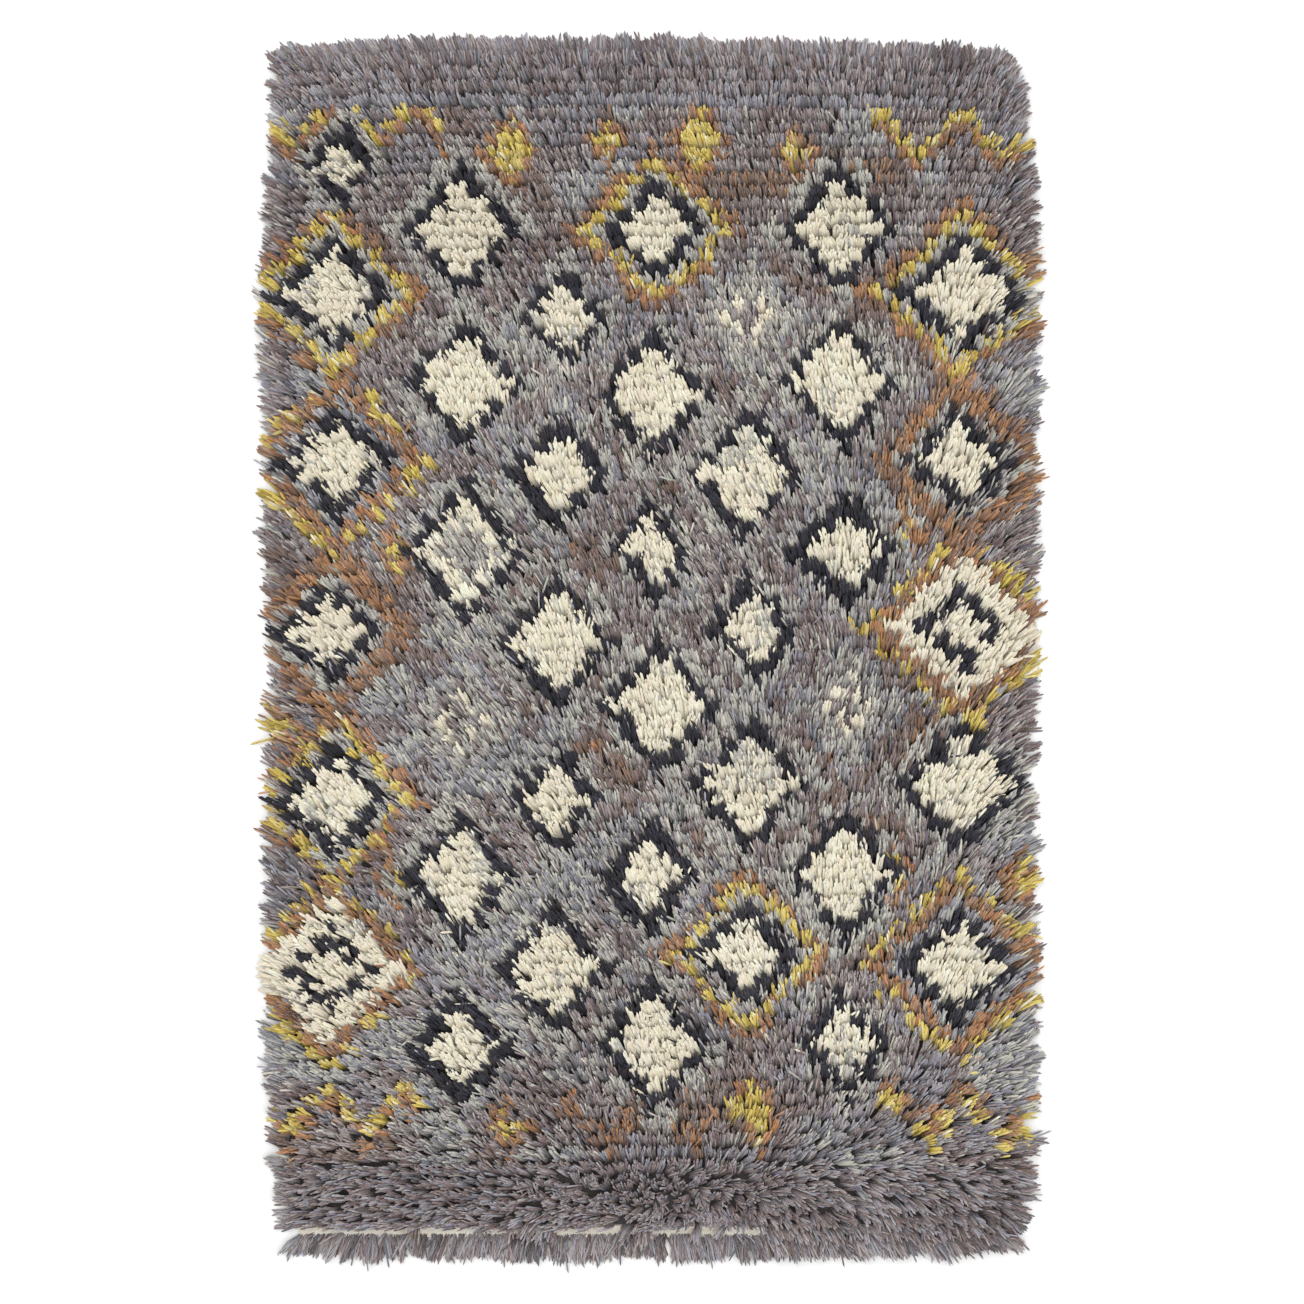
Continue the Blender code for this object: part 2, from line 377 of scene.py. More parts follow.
def design(x, row, rows):
    """What each knot is tied with: a yarn, another yarn, and the other's share."""
    made = np.full(len(x), HEATHER)
    other = np.full(len(x), BROWN)
    share = np.full(len(x), 0.20)
    knot = x / KNOT_PITCH
    # Every row is counted off by eye, so the design wanders by a knot or so.
    wander = np.random.default_rng(3).normal(0, 0.5, rows)[row.astype(int)]
    knot = knot + wander + 0.8 * value_noise(x, row * 0.02, 0.12, 8)

    # Ground: soft patches and streaks of browner, bluer and paler yarn.
    streak = 0.75 * value_noise(x, row * 0.05, 0.20, 5)
    streak += 0.65 * value_noise(x, row * 0.045, 0.075, 6)
    bluer = streak > 0.36
    browner = streak < -0.40
    made[bluer], other[bluer], share[bluer] = BLUE, HEATHER, 0.50
    made[browner], other[browner], share[browner] = BROWN, HEATHER, 0.50
    rusty = (streak < -0.80) & (row > PLAIN_FOOT_ROWS)
    other[rusty], share[rusty] = RUST, 0.25
    paler = value_noise(x, row * 0.04, 0.09, 7) + 0.3 * streak > 0.50
    made[paler], other[paler], share[paler] = PALE, BLUE, 0.50

    field = (row >= PLAIN_FOOT_ROWS) & (row < rows - PLAIN_HEAD_ROWS)
    made[~field] = HEATHER
    other[~field], share[~field] = BLUE, 0.30
    plain = field & (made == HEATHER)
    other[plain], share[plain] = PALE, 0.14

    def tie(where, yarn, second, part):
        made[where], other[where], share[where] = yarn, second, part

    def ring_yarn(where, yarn):
        if yarn == PALE:
            tie(where, PALE, HEATHER, 0.22)
        elif yarn == BLUE:
            tie(where, BLUE, PALE, 0.30)
        elif yarn == CREAM:
            tie(where, CREAM, PALE, 0.006)
        elif yarn == DARK:
            tie(where, DARK, BLUE, 0.02)
        elif yarn == MUSTARD:
            tie(where, MUSTARD, CREAM, 0.06)
        elif yarn == RUST:
            tie(where, RUST, BROWN, 0.25)
        elif yarn == BROWN:
            tie(where, BROWN, RUST, 0.25)
        else:
            tie(where, HEATHER, PALE, 0.30)

    for low, high, base, upper, lower in ZIGZAGS:
        rise = np.abs((knot / 9.0) % 2 - 1) * 3.2
        line = np.round(base + rise)
        here = field & (knot > low) & (knot < high)
        ring_yarn(here & (row == line + 1), upper)
        ring_yarn(here & (row == line), lower)

    def lozenge(kind, middle_x, middle_y, size):
        slope, *rings = LOZENGES[kind]
        out = np.abs(knot - middle_x) / slope + np.abs(row - middle_y)
        depth = size + 0.35 - out
        inside = field & (depth >= 0)
        if kind != "spark":
            # The halo comes and goes, so that no outline is quite closed.
            gap = value_noise(x + middle_x, row * 0.03, 0.035, 60)
            inside &= ~((depth < rings[0][1] - 0.3) & (gap > 0.2))
        reached = 0
        for number, (yarn, high) in enumerate(rings):
            here = inside & (depth >= reached)
            ring_yarn(here, yarn)
            if yarn == CREAM:
                worn = value_noise(x - middle_y * 0.1, row * 0.02, 0.045, 70 + number)
                fade = np.clip((worn - 0.25) * 1.4, 0, 0.6)
                share[here] = np.maximum(share[here], fade[here])
            reached += high

    for middle_x, middle_y, size in SPARKS:
        lozenge("spark", middle_x, middle_y, size)
    for kind, middle_x, middle_y, size in TRELLIS:
        lozenge(kind, middle_x, middle_y, size)

    # A plain bluish line under the head band.
    line = (row == rows - PLAIN_HEAD_ROWS) & (x < 0.47)
    tie(line, BLUE, HEATHER, 0.25)
    return made, other, share


# ------------------------------------------------------------------------ pile

def crisp_at(y):
    """How plainly the rows show: 1 in the band under the head, 0 elsewhere."""
    return np.clip((y - 0.50) / 0.10, 0, 1) * np.clip((0.86 - y) / 0.04, 0, 1)


FULL = 3  # yarn ends of a knot that are drawn with two bends
PLAIN = 4  # and those under them, with one; the lowest of them lie as one broad lock


def knots():
    """Every knot: its place, its row and its number in the row. Row 0 is the foot."""
    count = int(round((LAST_ROW_Y - FIRST_ROW_Y) / ROW_PITCH)) + 1
    ys = [FOOT_ROW_Y, *np.linspace(FIRST_ROW_Y, LAST_ROW_Y, count)]
    found = []
    for row, y in enumerate(ys):
        left = side(1, y) + LEFT_INSET
        right = side(2, y) - SIDE_INSET
        number = int(round((right - left) / KNOT_PITCH)) + 1
        if row == 0:
            number = int(number * FOOT_ROW_DENSER)
        if row == len(ys) - 1:
            number = int(number * HEAD_ROW_DENSER)
        xs = np.linspace(left, right, number)
        bow = 0.0016 * value_noise(xs, np.full(number, y), 0.21, 31)
        found.append(
            np.stack(
                [
                    xs + rng.normal(0, 0.0008, number),
                    y + bow - head_sink(xs, y) + rng.normal(0, 0.0009, number),
                    np.full(number, row),
                    np.arange(number),
                ],
                1,
            )
        )
    return (*np.concatenate(found).T, len(ys))


def strands():
    """The centre line, radii and shade of every yarn end."""
    kx, ky, krow, knumber, rows = knots()
    made, other, share = design(kx, krow, rows)
    ks = len(kx)

    # ---- each knot's lock of yarn ends
    lying, sure = lie(kx, ky)
    upright = np.exp(-(((kx - 0.03) / 0.15) ** 2) - ((ky + 0.842) / 0.032) ** 2)
    k_root, k_tip, k_length, unruly, k_top = (read(STAND, k, ky) for k in range(1, 6))
    # Where the pile parts it stands up too.
    upright = np.maximum(upright, np.clip((0.80 - sure) / 0.45, 0, 1))
    unruly = unruly + 30 * upright + 70 * np.clip(0.90 - sure, 0, 1)
    swirl = 9 * value_noise(kx, ky, 0.16, 11) + 9 * value_noise(kx, ky, 0.055, 12)
    last = krow == rows - 1
    unruly[last] *= 0.6
    k_angle = lying + swirl + rng.normal(0, 1, ks) * unruly
    k_tip = k_tip + 40 * upright + 5 * value_noise(kx, ky, 0.06, 15)
    k_tip += rng.normal(0, 4, ks)
    k_root = k_root + rng.normal(0, 4, ks)
    head = np.clip(1.75 - 0.25 * (rows - 1 - krow), 0, 1)
    uneven = 0.11 - 0.06 * np.maximum(crisp_at(ky), head)
    k_length = k_length * MM * np.clip(1 + rng.normal(0, 1, ks) * uneven, 0.72, 1.3)
    k_length *= 1 - 0.16 * upright
    # Where the pile lies along the row, neighbours set off to either side of it, so
    # that the locks cover the weave between this row and the next.
    spot = (knumber * 0.618034 + krow * 0.381966) % 1 * 2 - 1
    sideways = np.abs(np.sin(np.radians(k_angle))) ** 1.2
    beaten = np.clip(1.7 * upright, 0, 1)
    aside = spot * np.maximum(sideways, beaten)
    k_fan = (26 + 30 * beaten) * aside + rng.normal(0, 7, ks)
    k_aside = (0.0072 + 0.0026 * beaten) * aside
    # In the combed-over field the rows don't show; in the band under the head they do.
    k_aside += rng.normal(0, 1, ks) * 0.0024 * (1 - 0.75 * crisp_at(ky))

    foot = krow == 0
    covered = foot & (kx > STRIP_TO_X)
    k_fan[foot] = rng.normal(0, 12, foot.sum())
    k_aside[foot] = 0
    k_angle[foot] = lying[foot] + rng.normal(0, 6, foot.sum())
    k_angle[foot] += 8 * value_noise(kx[foot], ky[foot], 0.03, 16)
    # The ends there hang together in tufts, three or four knots to each.
    tuft = np.floor(kx / 0.0135 + 0.35 * np.sin(kx / 0.031)).astype(int)[foot]
    first, inverse = np.unique(tuft, return_inverse=True)
    middle = np.bincount(inverse, kx[foot]) / np.bincount(inverse)
    leaning = rng.normal(0, 6, len(first))
    off = (kx[foot] - middle[inverse]) / 0.038
    k_angle[foot] += leaning[inverse] - np.degrees(0.75 * off)
    k_root[foot] = 26 + rng.normal(0, 6, foot.sum())
    k_tip[foot] = -20
    tufts = 1 + 0.18 * value_noise(kx[foot], ky[foot], 0.018, 17)
    k_length[foot] = 0.0385 * tufts * rng.normal(1, 0.05, foot.sum())
    k_top[foot] = 12.5
    # Past the end of the bare strip the pile closes over it.
    k_root[covered] = 45 + rng.normal(0, 10, covered.sum())
    k_top[covered] = 17
    beside = (krow == 1) & (kx <= STRIP_TO_X)
    k_angle[beside] = np.clip(k_angle[beside], 40, 94)
    k_fan[beside] = np.clip(k_fan[beside], -60, 0)
    k_aside[beside] = np.clip(k_aside[beside], 0, None)
    stray = rng.random(ks) < 0.02
    stray |= (kx > -0.19) & (value_noise(kx, ky, 0.028, 24) > 0.72)
    stray &= beside
    k_angle[stray] = 170 + rng.normal(0, 18, stray.sum())
    k_length[stray] *= 1.15

    # Locks near the sides have nothing to lie on, so they droop to the floor.
    from_left = kx - (side(1, ky) + LEFT_INSET)
    from_right = (side(2, ky) - SIDE_INSET) - kx
    from_head = (rows - 1 - krow) * ROW_PITCH
    edge = np.minimum(np.minimum(from_left, from_right), from_head)
    droop = np.clip(1 - edge / 0.030, 0, 1) ** 1.3
    droop[foot] = 0
    k_root = k_root * (1 - 0.48 * droop)
    k_tip = k_tip * (1 - droop) - 32 * droop
    k_length *= 1 + 0.06 * droop
    k_open = np.clip(rng.normal(1, 0.16, ks), 0.6, 1.5) * (1 + 0.35 * beaten)
    k_open[last] *= 1.3

    # ---- each yarn end in its lock
    rim = (edge < 0.010) & ~foot
    ends = np.full(ks, FULL + PLAIN)
    ends[(rng.random(ks) < 0.35) | (made == CREAM)] += 1
    ends[(upright > 0.2) | rim] = FULL + PLAIN + 3
    n = ends.sum()
    knot = np.repeat(np.arange(ks), ends)
    place = np.arange(n) - np.repeat(np.cumsum(ends) - ends, ends)
    bent = np.where((rng.random(ks) < 0.20) & (edge > 0.05), FULL - 1, FULL)
    full = place < bent[knot]
    # Silhouettes are made of full ends only.
    full |= (rim | foot)[knot]
    broad = (place == FULL + PLAIN - 1) & ~full & (edge > 0.012)[knot]
    across = np.array([-0.75, 0, 0.75, -0.95, -0.35, 0.35, 0.95, -1.3, 0, 1.3])[place]
    across = across + rng.normal(0, 0.22, n)
    above = np.array([0.4, 0.75, 0.4, -0.3, 0, 0, -0.3, -0.4, -0.5, -0.4])[place]
    above = above + rng.normal(0, 0.2, n)
    across[broad] *= 0.2
    above[broad] = -0.9

    x = kx[knot] + rng.normal(0, 0.0005, n)
    y = ky[knot] + k_aside[knot] + rng.normal(0, 0.0010, n)
    root = k_root[knot] + rng.normal(0, 3, n)
    tip = k_tip[knot] + rng.normal(0, 5, n)
    spread = (0.12 - 0.05 * head)[knot]
    length = k_length[knot] * np.clip(1 + rng.normal(0, 1, n) * spread, 0.65, 1.4)
    length[~full] *= 0.93
    length[broad] *= 0.88
    tip[broad] -= 4
    wild = rng.random(n) < (0.02 - 0.014 * head)[knot]
    length[wild] *= 1.15
    angle = k_angle[knot] + rng.normal(0, 1, n) * (5.0 + 0.20 * unruly[knot])
    angle[wild] += rng.normal(0, 24, wild.sum())
    fan = k_fan[knot]
    curl = rng.normal(0, 8, n) + 10 * value_noise(x, y, 0.09, 14)
    top = k_top[knot] * MM

    # Centre line, by steps along the yarn.
    steps = 12
    t = (np.arange(steps) + 0.5) / steps
    lift = np.radians(root[:, None] + (tip - root)[:, None] * t[None, :] ** 0.75)
    settle = np.clip((t - 0.10) / 0.42, 0, 1)
    settle = 1 - settle * settle * (3 - 2 * settle)
    turn = np.radians(
        angle[:, None] + fan[:, None] * settle[None, :] + curl[:, None] * (t - 0.5)
    )
    run = np.cos(lift) * (length / steps)[:, None]
    line = np.zeros((n, steps + 1, 3))
    line[:, 0] = np.stack([x, y, np.full(n, WEAVE_THICK - 0.0012)], 1)
    line[:, 1:, 0] = x[:, None] + np.cumsum(-np.sin(turn) * run, 1)
    line[:, 1:, 1] = y[:, None] + np.cumsum(np.cos(turn) * run, 1)
    rise = np.cumsum(np.sin(lift) * (length / steps)[:, None], 1)
    # The ends of a lock spread out from the knot and close again at the tips.
    s = np.arange(steps + 1) / steps
    wide = np.interp(s, (0, 0.33, 0.66, 1), (0.0016, 0.0033, 0.0036, 0.0026))
    deep = np.interp(s, (0, 0.33, 0.66, 1), (0.0003, 0.0019, 0.0022, 0.0014))
    aim = np.concatenate([turn[:, :1], turn], 1)
    apart = (across * k_open[knot])[:, None] * wide[None, :]
    line[:, :, 0] += np.cos(aim) * apart
    line[:, :, 1] += np.sin(aim) * apart
    rise = rise + (above[:, None] * deep[None, :])[:, 1:]
    # No end stands above the pile's surface: taller ones are pressed down.
    room = top - WEAVE_THICK - 0.001
    press = np.minimum(1, room / np.maximum(rise.max(1), 1e-6))
    line[:, 1:, 2] = line[:, :1, 2] + rise * press[:, None]

    thick = np.clip(rng.normal(1, 0.10, n), 0.7, 1.3)
    thick[foot[knot]] *= 0.9
    # Light wool is spun looser, so its ends are fatter.
    thick *= np.array([1.0, 1.0, 1.03, 1.06, 1.36, 1.1, 1.2, 1.08])[made[knot]]

    # Shade: each yarn's shades are drawn at random, leaning light or dark by patch.
    yarn = np.where(rng.random(n) < share[knot], other[knot], made[knot])
    lean = 0.16 * value_noise(x, y, 0.12, 21) + 0.24 * value_noise(x, y, 0.024, 22)
    # Painted shade: the shades lean darker towards the foot, for the shade between the upright
    # ends there.
    lean -= 0.04 * np.clip((-0.74 - y) / 0.08, 0, 1)
    lean += np.where(krow == 0, 0.06 + 0.5 * value_noise(kx, ky, 0.009, 23), 0)[knot]
    pick = np.clip(rng.random(n) + lean, 0, 0.999)
    yarn[broad] = made[knot][broad]
    pick[broad] = 0.25 + 0.4 * pick[broad]
    by_light = np.argsort(SHADE_A.sum(1).reshape(len(YARN_NAMES), SHADES_EACH), 1)
    shade = yarn * SHADES_EACH + by_light[yarn, (pick * SHADES_EACH).astype(int)]
    return line, 0.00156 * thick, shade, krow[knot].astype(int), full, broad


BAKE_COLUMNS, BAKE_ROWS = 32, 8  # the shade card's layout on the map
# How round each yarn's ends are: loosely spun light wool lies flattest.
FLATNESS = np.array([0.85, 0.85, 0.85, 0.75, 0.50, 0.9, 0.75, 0.85])


def ring_at(line, station, radius, roll, flat_to):
    """Three points over the centre line: left, ridge and right."""
    ahead = line[:, min(station + 1, line.shape[1] - 1)]
    tangent = ahead - line[:, max(station - 1, 0)]
    tangent /= np.maximum(np.linalg.norm(tangent, axis=1, keepdims=True), 1e-9)
    flat = np.cross(tangent, np.array([0.0, 0.0, 1.0]))
    flat /= np.maximum(np.linalg.norm(flat, axis=1, keepdims=True), 1e-9)
    upward = np.cross(flat, tangent) * flat_to[:, None]
    turn = roll[:, None] + np.radians((-105.0, 0.0, 105.0))[None, :]
    around = flat[:, None] * np.sin(turn)[..., None]
    around = around + upward[:, None] * np.cos(turn)[..., None]
    return line[:, None, station] + around * radius[:, None, None]


def yarn_ends(line, radius, roll, stations, swell, flat_to):
    """Arched strips of yarn, rooted in the weave, each with a blunt cut tip.

    Gives the points, the corners of the faces of one end, and their places on the
    map, round and along.
    """
    last = line.shape[1] - 1
    parts = [
        ring_at(line, station, radius * width, roll, flat_to)
        for station, width in zip(stations, swell)
    ]
    parts.append(line[:, None, last])
    points = np.concatenate(parts, 1)
    points[:, :, 2] = np.maximum(points[:, :, 2], 0.0002)
    levels = [s / last for s in stations]
    faces, places = [], []
    for k in range(2):
        a, b = k / 2, (k + 1) / 2
        for ring in range(len(stations) - 1):
            low, high = 3 * ring, 3 * ring + 3
            faces.append((low + k, low + k + 1, high + k + 1, high + k))
            v, w = levels[ring], levels[ring + 1]
            places.append(((a, v), (b, v), (b, w), (a, w)))
        low = 3 * len(stations) - 3
        faces.append((low + k, low + k + 1, low + 3))
        places.append(((a, levels[-1]), (b, levels[-1]), ((a + b) / 2, 1)))
    return points, faces, places


def pile_piece(name, groups):
    """One mesh of yarn ends. Each group is its points, faces, places and shades."""
    coordinates, corner_lists, size_lists, uv_lists, shade_lists = [], [], [], [], []
    base = 0
    for points, faces, places, shade in groups:
        n, each = points.shape[:2]
        corners = np.array([i for face in faces for i in face])
        place = np.array([p for face in places for p in face], float)
        starts = base + each * np.arange(n)
        corner_lists.append((corners[None, :] + starts[:, None]).ravel())
        size_lists.append(np.tile([len(face) for face in faces], n))
        column, row = (shade % BAKE_COLUMNS)[:, None], (shade // BAKE_COLUMNS)[:, None]
        uv = np.empty((n, len(corners), 2))
        uv[:, :, 0] = (column + 0.07 + 0.86 * place[None, :, 0]) / BAKE_COLUMNS
        uv[:, :, 1] = (row + 0.03 + 0.94 * place[None, :, 1]) / BAKE_ROWS
        uv_lists.append(uv.reshape(-1, 2))
        coordinates.append(points.reshape(-1, 3))
        shade_lists.append(np.repeat(shade, each))
        base += n * each
    corners, sizes = np.concatenate(corner_lists), np.concatenate(size_lists)
    shades = np.concatenate(shade_lists)
    mesh = bpy.data.meshes.new(name)
    mesh.vertices.add(base)
    mesh.vertices.foreach_set(
        "co", np.concatenate(coordinates).astype(np.float32).ravel()
    )
    mesh.loops.add(len(corners))
    mesh.loops.foreach_set("vertex_index", corners.astype(np.int32))
    mesh.polygons.add(len(sizes))
    mesh.polygons.foreach_set(
        "loop_start", np.concatenate([[0], np.cumsum(sizes)[:-1]]).astype(np.int32)
    )
    mesh.polygons.foreach_set("use_smooth", np.ones(len(sizes), bool))
    mesh.update(calc_edges=True)
    layer = mesh.uv_layers.new(name="OFBake")
    layer.uv.foreach_set("vector", np.concatenate(uv_lists).astype(np.float32).ravel())
    for attribute, values in (("ply_a", SHADE_A), ("ply_b", SHADE_B)):
        made = mesh.attributes.new(attribute, "FLOAT_VECTOR", "POINT")
        made.data.foreach_set("vector", values[shades].astype(np.float32).ravel())
    mesh.validate()
    piece = bpy.data.objects.new(name, mesh)
    bpy.context.scene.collection.objects.link(piece)
    return piece


# ------------------------------------------------------------------- materials


class Nodes:
    """Short names for making nodes and links in one material."""

    def __init__(self, name):
        self.material = bpy.data.materials.new(name)
        self.material.use_nodes = True
        self.tree = self.material.node_tree
        self.shader = self.tree.nodes["Principled BSDF"]

    def add(self, kind, **settings):
        node = self.tree.nodes.new("ShaderNode" + kind)
        for key, value in settings.items():
            setattr(node, key, value)
        return node

    def link(self, out, into):
        self.tree.links.new(out, into)

    def math(self, operation, a, b=None, clamp=False):
        node = self.add("Math", operation=operation, use_clamp=clamp)
        for socket, value in zip(node.inputs, (a, b)):
            if value is None:
                continue
            if isinstance(value, (int, float)):
                socket.default_value = value
            else:
                self.link(value, socket)
        return node.outputs[0]

    def mix(self, factor, a, b, blend="MIX"):
        node = self.add("Mix", data_type="RGBA", blend_type=blend)
        sockets = {
            "factor": node.inputs[0],
            "a": next(s for s in node.inputs if s.identifier == "A_Color"),
            "b": next(s for s in node.inputs if s.identifier == "B_Color"),
        }
        for key, value in (("factor", factor), ("a", a), ("b", b)):
            if isinstance(value, tuple):
                sockets[key].default_value = (*value, 1.0)
            elif isinstance(value, (int, float)):
                sockets[key].default_value = value
            else:
                self.link(value, sockets[key])
        return next(s for s in node.outputs if s.identifier == "Result_Color")

    def ramp(self, value, low, high, to_low, to_high):
        node = self.add("MapRange", clamp=True)
        self.link(value, node.inputs[0])
        for socket, number in zip(node.inputs[1:5], (low, high, to_low, to_high)):
            socket.default_value = number
        return node.outputs[0]


def yarn_material():
    """Two-ply wool: the plies' colours wind round each end, with fine fibres, and painted shade
    darkens each end towards its root.
    """
    m = Nodes("rya_yarn")
    uv = m.add("UVMap", uv_map="OFBake")
    split = m.add("SeparateXYZ")
    m.link(uv.outputs[0], split.inputs[0])
    column_at = m.math("MULTIPLY", split.outputs[0], float(BAKE_COLUMNS))
    row_at = m.math("MULTIPLY", split.outputs[1], float(BAKE_ROWS))
    around = m.math(
        "DIVIDE", m.math("SUBTRACT", m.math("FRACT", column_at), 0.07), 0.86
    )
    length = m.math("DIVIDE", m.math("SUBTRACT", m.math("FRACT", row_at), 0.03), 0.94)
    # Twist: the two plies wind round each other four times.
    phase = m.math("ADD", around, m.math("MULTIPLY", length, 4.0))
    twist = m.math("SINE", m.math("MULTIPLY", phase, 2 * math.pi))
    ply = m.ramp(twist, -0.75, 0.75, 0.0, 1.0)

    fibre_at = m.add("CombineXYZ")
    m.link(m.math("MULTIPLY", column_at, 2.6), fibre_at.inputs[0])
    m.link(m.math("MULTIPLY", row_at, 7.0), fibre_at.inputs[1])
    fibre = m.add("TexNoise", noise_dimensions="2D")
    m.link(fibre_at.outputs[0], fibre.inputs["Vector"])
    fibre.inputs["Scale"].default_value = 2.0
    fibre.inputs["Detail"].default_value = 3.0
    fibre.inputs["Roughness"].default_value = 0.6

    a = m.add("Attribute", attribute_name="ply_a")
    b = m.add("Attribute", attribute_name="ply_b")
    colour = m.mix(ply, a.outputs["Color"], b.outputs["Color"])
    lights = m.ramp(fibre.outputs[0], 0.25, 0.75, 0.90, 1.10)
    # Painted shade: each end is darkened towards its root, where the pile around it shades it.
    depth = m.ramp(length, 0.10, 0.70, 0.66, 1.02)
    # Light wool scatters light into its own depths, so most of the painted root shade is lifted
    # from it.
    pale = m.add("RGBToBW")
    m.link(colour, pale.inputs[0])
    pale = m.ramp(pale.outputs[0], 0.30, 0.75, 0.0, 1.0)
    filled = m.math("MULTIPLY", m.math("SUBTRACT", 1.02, depth), pale)
    depth = m.math("ADD", depth, filled)
    level = m.math("MULTIPLY", lights, depth)
    grey = m.add("CombineColor")
    for socket in grey.inputs[:3]:
        m.link(level, socket)
    colour = m.mix(1.0, colour, grey.outputs[0], "MULTIPLY")
    m.link(colour, m.shader.inputs["Base Color"])

    height = m.math(
        "ADD", m.math("MULTIPLY", twist, 0.5), m.math("MULTIPLY", fibre.outputs[0], 0.9)
    )
    bump = m.add("Bump")
    bump.inputs["Strength"].default_value = 0.35
    bump.inputs["Distance"].default_value = 0.0005
    m.link(height, bump.inputs["Height"])
    m.link(bump.outputs[0], m.shader.inputs["Normal"])
    rough = m.ramp(fibre.outputs[0], 0.3, 0.7, 0.86, 0.98)
    m.link(rough, m.shader.inputs["Roughness"])
    m.shader.inputs["Specular IOR Level"].default_value = 0.25
    m.shader.inputs["Sheen Weight"].default_value = 0.2
    m.shader.inputs["Sheen Roughness"].default_value = 0.45
    m.shader.inputs["Sheen Tint"].default_value = (0.93, 0.92, 0.90, 1.0)
    return m.material


def weave_material():
    """Weft-faced ground weave: close cream ribs over the warps, slubby and matt."""
    m = Nodes("ground_weave")
    place = m.add("TexCoord")
    split = m.add("SeparateXYZ")
    m.link(place.outputs["Object"], split.inputs[0])
    x, y = split.outputs[0], split.outputs[1]
    slub = m.add("TexNoise")
    m.link(place.outputs["Object"], slub.inputs["Vector"])
    slub.inputs["Scale"].default_value = 130.0
    slub.inputs["Detail"].default_value = 4.0
    wander = m.math("MULTIPLY", m.math("SUBTRACT", slub.outputs[0], 0.5), 0.9)
    warp = m.math(
        "SINE",
        m.math("ADD", m.math("MULTIPLY", x, 2 * math.pi / 0.0033), wander),
    )
    weft = m.math(
        "SINE",
        m.math("ADD", m.math("MULTIPLY", y, 2 * math.pi / 0.0019), wander),
    )
    weave = m.math("MULTIPLY", warp, weft)
    patch = m.add("TexNoise")
    m.link(place.outputs["Object"], patch.inputs["Vector"])
    patch.inputs["Scale"].default_value = 9.0
    patch.inputs["Detail"].default_value = 5.0
    tone = m.ramp(patch.outputs[0], 0.3, 0.7, 0.0, 1.0)
    colour = m.mix(tone, tuple(linear(unpack(0xFAF5E9))), tuple(linear(unpack(0xF0E7D5))))
    # Painted shade: under the pile the top of the weave is painted dark grey, for the shade the
    # pile casts on it; the strip is clean cream.
    under = m.ramp(y, STRIP_Y + 0.006, STRIP_Y + 0.010, 0.0, 1.0)
    above = m.ramp(split.outputs[2], 0.0008, 0.0016, 0.0, 1.0)
    painted_pile_shade = tuple(linear(unpack(0x484342)))
    colour = m.mix(m.math("MULTIPLY", under, above), colour, painted_pile_shade)
    # On the back each row of knots shows as a line of small loops.
    in_row = m.math(
        "FRACT", m.math("DIVIDE", m.math("SUBTRACT", y, FIRST_ROW_Y - 0.0020), 0.01998)
    )
    row_line = m.ramp(in_row, 0.18, 0.22, 1.0, 0.0)
    loop = m.ramp(
        m.math("SINE", m.math("MULTIPLY", x, 2 * math.pi / 0.0033)), -0.6, 0.0, 0.0, 1.0
    )
    back = m.math("MULTIPLY", m.math("MULTIPLY", row_line, loop), under)
    back = m.math("MULTIPLY", back, m.math("SUBTRACT", 1.0, above))
    loops = m.add("TexNoise")
    m.link(place.outputs["Object"], loops.inputs["Vector"])
    loops.inputs["Scale"].default_value = 60.0
    wool = m.mix(
        m.ramp(loops.outputs[0], 0.35, 0.65, 0.0, 1.0),
        tuple(linear(unpack(0x857D7E))),
        tuple(linear(unpack(0x5F544F))),
    )
    colour = m.mix(back, colour, wool)
    # Painted shade: the weave's colour darkens in the dips between the threads.
    painted_weave_dip_shade = m.ramp(weave, -1.0, 1.0, 0.88, 1.03)
    grey = m.add("CombineColor")
    for socket in grey.inputs[:3]:
        m.link(painted_weave_dip_shade, socket)
    colour = m.mix(1.0, colour, grey.outputs[0], "MULTIPLY")
    m.link(colour, m.shader.inputs["Base Color"])
    bump = m.add("Bump")
    bump.inputs["Strength"].default_value = 0.8
    bump.inputs["Distance"].default_value = 0.0006
    m.link(m.math("ADD", weave, slub.outputs[0]), bump.inputs["Height"])
    m.link(bump.outputs[0], m.shader.inputs["Normal"])
    m.link(m.ramp(slub.outputs[0], 0.3, 0.7, 0.82, 0.96), m.shader.inputs["Roughness"])
    m.shader.inputs["Specular IOR Level"].default_value = 0.25
    m.shader.inputs["Sheen Weight"].default_value = 0.2
    return m.material


def floor_material():
    m = Nodes("pale_floor")
    place = m.add("TexCoord")
    noise = m.add("TexNoise")
    m.link(place.outputs["Object"], noise.inputs["Vector"])
    noise.inputs["Scale"].default_value = 1.5
    noise.inputs["Detail"].default_value = 6.0
    tone = m.ramp(noise.outputs[0], 0.35, 0.65, 0.0, 1.0)
    m.link(m.mix(tone, (0.90, 0.90, 0.895), (0.915, 0.915, 0.91)), m.shader.inputs["Base Color"])
    m.link(m.ramp(noise.outputs[0], 0.3, 0.7, 0.7, 0.8), m.shader.inputs["Roughness"])
    m.shader.inputs["Specular IOR Level"].default_value = 0.2
    return m.material


# ----------------------------------------------------------------- ground weave


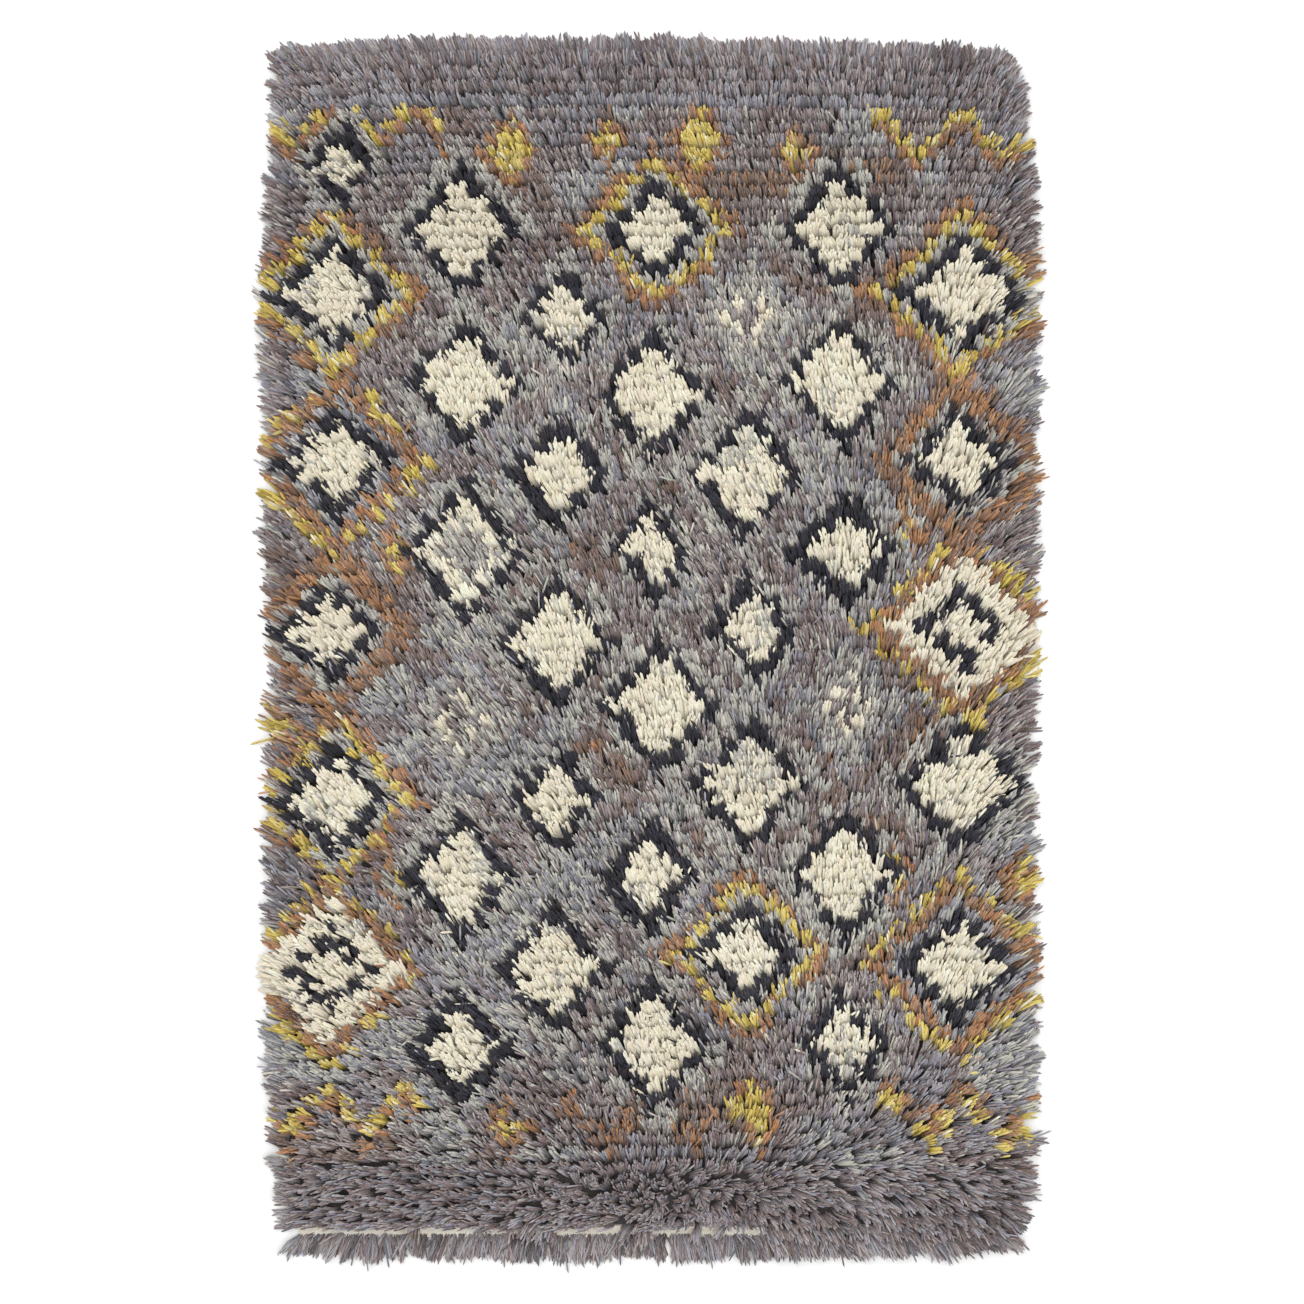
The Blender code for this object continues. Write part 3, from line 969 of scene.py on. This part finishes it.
def ground_weave():
    """A closed sheet with the rug's selvedges, ribbed along the rows of knots."""
    foot, head = FOOT_ROW_Y - 0.0045, LAST_ROW_Y + 0.0050
    pitch = (LAST_ROW_Y - FIRST_ROW_Y) / round((LAST_ROW_Y - FIRST_ROW_Y) / ROW_PITCH)
    ys = [foot, FOOT_ROW_Y, STRIP_Y - 0.002, STRIP_Y + 0.002]
    rows = int(round((LAST_ROW_Y - FIRST_ROW_Y) / pitch))
    for r in range(rows + 1):
        ys += [FIRST_ROW_Y + r * pitch - 0.005, FIRST_ROW_Y + r * pitch]
    ys = sorted(ys + [head])
    ys = np.array(ys)
    columns = 24
    s = np.linspace(0, 1, columns + 1)
    left = side(1, ys) + LEFT_INSET - EDGE_PAST_KNOT
    right = side(2, ys) - SIDE_INSET + EDGE_PAST_KNOT
    x = left[:, None] + (right - left)[:, None] * s[None, :]
    y = np.repeat(ys[:, None], columns + 1, 1)
    y = y - head_sink(x, y)
    rib = np.where(np.arange(len(ys)) % 2 == 0, 0.0, -0.0004)[:, None]
    top = WEAVE_THICK + rib + 0.00015 * value_noise(x, y, 0.02, 41)
    count = len(ys) * (columns + 1)
    verts = np.concatenate(
        [
            np.stack([x, y, top], 2).reshape(-1, 3),
            np.stack([x, y, np.zeros_like(x)], 2).reshape(-1, 3),
        ]
    )
    faces = []
    wide = columns + 1
    for j in range(len(ys) - 1):
        for i in range(columns):
            a = j * wide + i
            faces.append((a, a + 1, a + wide + 1, a + wide))
            b = a + count
            faces.append((b, b + wide, b + wide + 1, b + 1))
    rim = (
        [i for i in range(wide)]
        + [j * wide + columns for j in range(1, len(ys))]
        + [(len(ys) - 1) * wide + i for i in range(columns - 1, -1, -1)]
        + [j * wide for j in range(len(ys) - 2, 0, -1)]
    )
    for k, a in enumerate(rim):
        b = rim[(k + 1) % len(rim)]
        faces.append((a, a + count, b + count, b))
    mesh = bpy.data.meshes.new("ground_weave")
    mesh.from_pydata([tuple(v) for v in verts], [], faces)
    mesh.validate()
    mesh.shade_smooth()
    mesh.set_sharp_from_angle(angle=math.radians(55))
    piece = bpy.data.objects.new("ground_weave", mesh)
    bpy.context.scene.collection.objects.link(piece)
    return piece


# ------------------------------------------------------------------------ build

weave = ground_weave()
weave.data.materials.append(weave_material())
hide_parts("rug")
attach(weave, "root")

line, radius, shade, row, full, broad = strands()
wool = yarn_material()
turns = np.random.default_rng(9).uniform(-0.5, 0.5, len(line))
turns[broad] *= 0.4
# Every fifth row goes to the same piece, and then the pieces are evened out.
order = np.argsort(row % PIECES, kind="stable")
cost = np.cumsum(np.where(full, 10, 6)[order])
piece_of = np.minimum((cost - 1) * PIECES // cost[-1], PIECES - 1)
for k in range(PIECES):
    mine = order[piece_of == k]
    groups = []
    for part, stations, swell, flat_to in (
        (mine[full[mine]], (0, 5, 11), (0.9, 1.0, 0.92), 1.0),
        (mine[~full[mine] & ~broad[mine]], (1, 11), (1.0, 0.92), 1.0),
        (mine[broad[mine]], (1, 9), (2.0, 2.4), 0.45),
    ):
        flat = flat_to * FLATNESS[shade[part] // SHADES_EACH]
        made = yarn_ends(line[part], radius[part], turns[part], stations, swell, flat)
        groups.append((*made, shade[part]))
    piece = pile_piece(f"pile_{k + 1}", groups)
    piece.data.materials.append(wool)
    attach(piece, "root")

# Floor, light and camera.
bpy.ops.mesh.primitive_plane_add(size=12, location=(0, 0, 0))
floor = bpy.context.object
floor.name = "floor"
floor.data.materials.append(floor_material())


def area_light(name, place, target, size, watts):
    data = bpy.data.lights.new(name, "AREA")
    data.shape, data.size, data.energy = "DISK", size, watts
    lamp = bpy.data.objects.new(name, data)
    bpy.context.scene.collection.objects.link(lamp)
    lamp.location = place
    aim = np.array(target, float) - np.array(place, float)
    from mathutils import Vector

    lamp.rotation_euler = Vector(aim).to_track_quat("-Z", "Y").to_euler()
    return lamp


area_light("key_light", (-2.2, 2.6, 3.6), (0, 0, 0), 2.8, 58)
area_light("fill_light", (2.8, -1.6, 3.4), (0, 0, 0), 3.4, 44)

world = bpy.data.worlds.new("studio")
bpy.context.scene.world = world
world.use_nodes = True
world.node_tree.nodes["Background"].inputs["Color"].default_value = (1.0, 1.0, 1.0, 1.0)
world.node_tree.nodes["Background"].inputs["Strength"].default_value = 0.96

lens = bpy.data.cameras.new("camera")
camera = bpy.data.objects.new("camera", lens)
bpy.context.scene.collection.objects.link(camera)
bpy.context.scene.camera = camera
lens.sensor_width, lens.lens = 36.0, 72.0
lens.dof.use_dof = False
FRAME_WIDE = 2.0056  # metres that the photograph's frame spans at the pile
camera.location = (0.003, 0.0, 0.018 + FRAME_WIDE / 2 / (18.0 / 72.0))
camera.rotation_euler = (0, 0, 0)
lens.clip_end = 50

bpy.context.scene.view_settings.view_transform = "Standard"
bpy.context.scene.view_settings.look = "None"

bpy.context.view_layer.update()
